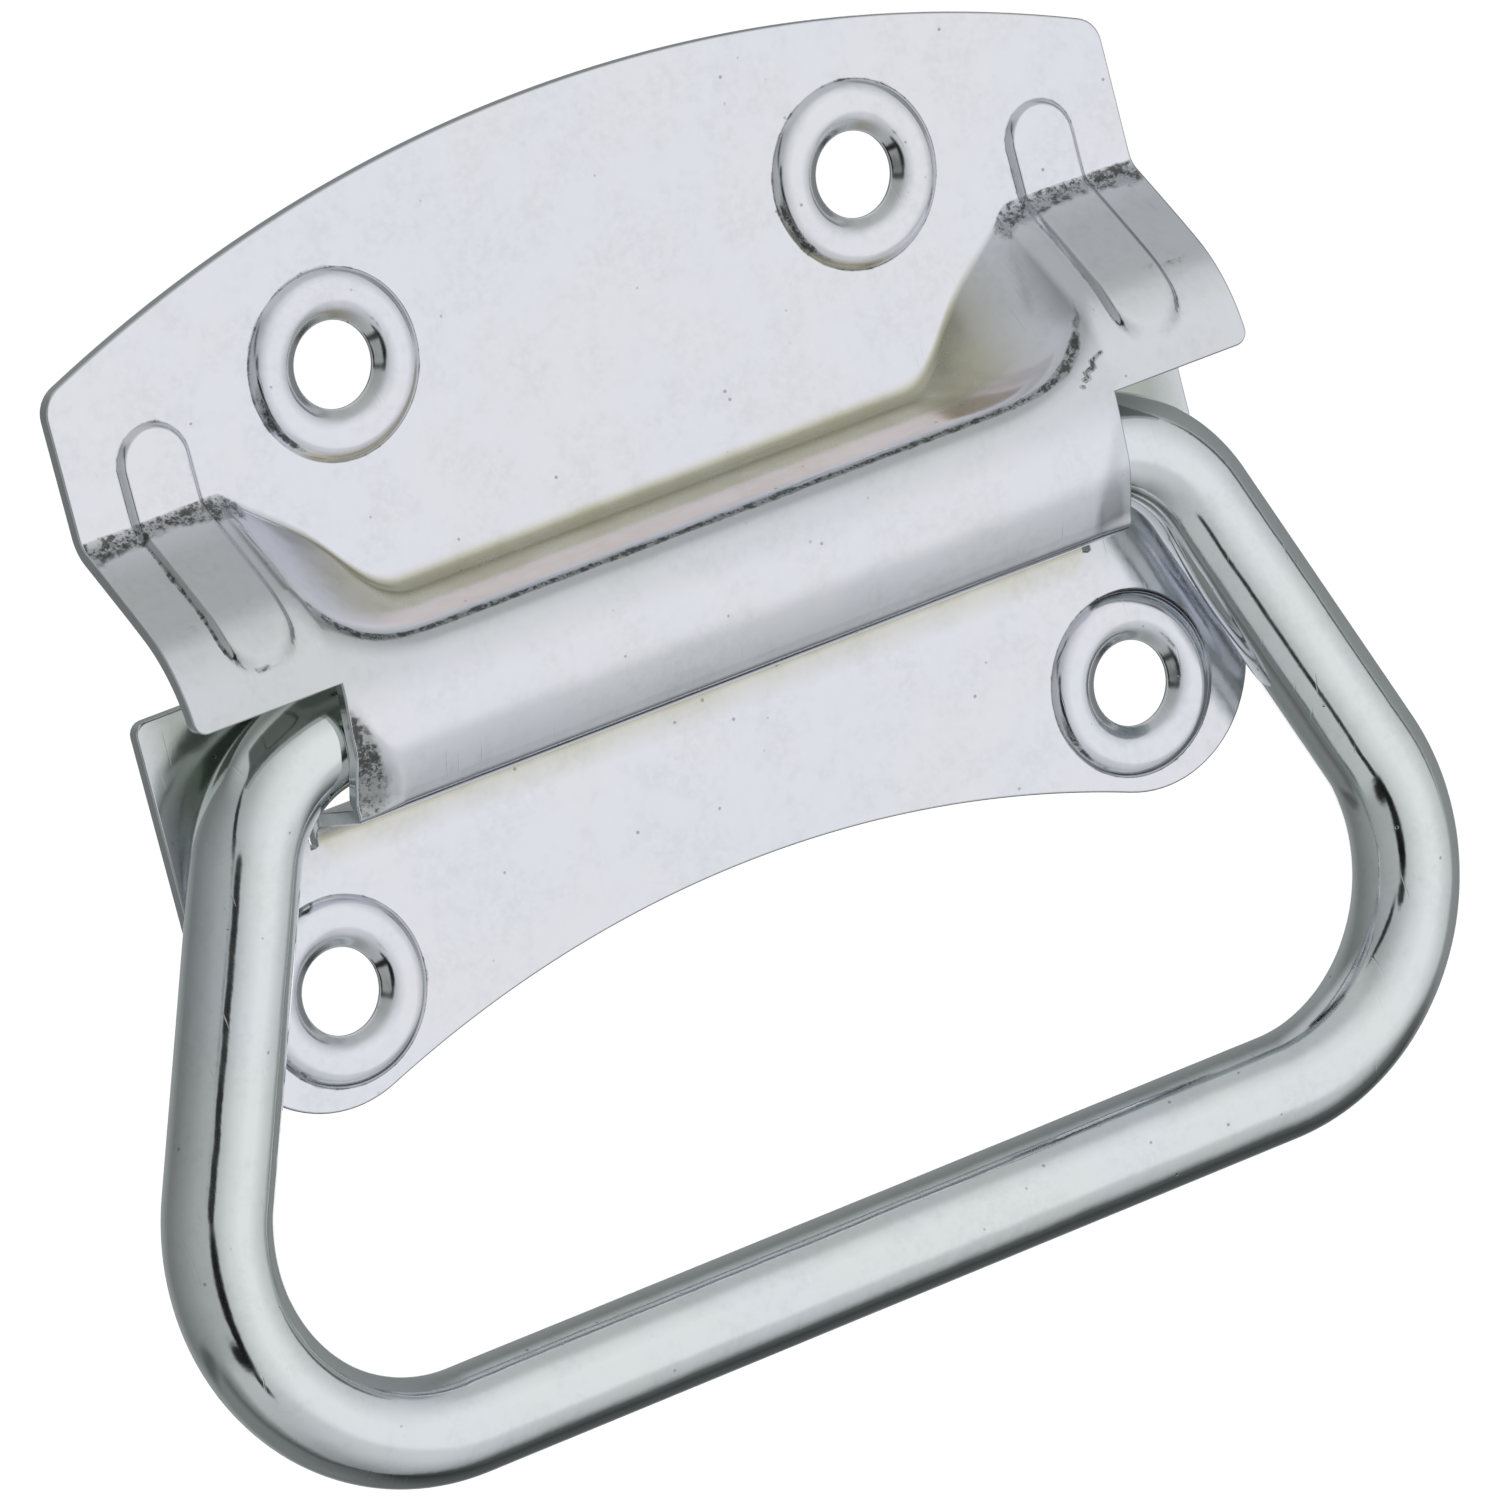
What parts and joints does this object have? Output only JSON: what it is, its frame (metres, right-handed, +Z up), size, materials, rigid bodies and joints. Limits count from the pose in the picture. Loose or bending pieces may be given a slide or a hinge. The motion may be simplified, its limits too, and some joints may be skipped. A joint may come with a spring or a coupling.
{
  "type": "chest handle",
  "caption": "Surface-mounted pull for a chest or box: a plate pressed from sheet steel, whose barrel and wings trap a swinging bail bent from round rod.",
  "frame": {"origin": "middle of the plate on its back face, level with the upper two screw holes", "axes": "+X along the plate, the way the bail's grip runs; +Y into the wall that the plate is screwed to; +Z up"},
  "size_m": [0.088, 0.0088, 0.0731],
  "materials": {
    "plate": "bright zinc plated sheet steel, pale bluish white",
    "bail": "bright zinc plated steel rod"
  },
  "bodies": {
    "plate": {"back_plate": "plate"},
    "bail": {"bail": "bail"}
  },
  "joints": [
    {"name": "bail_swing", "type": "hinge", "parent": "plate", "child": "bail", "pos_m": [0, -0.00422, -0.0189], "axis": [-1, 0, 0], "range_deg": [0, 90]}
  ]
}
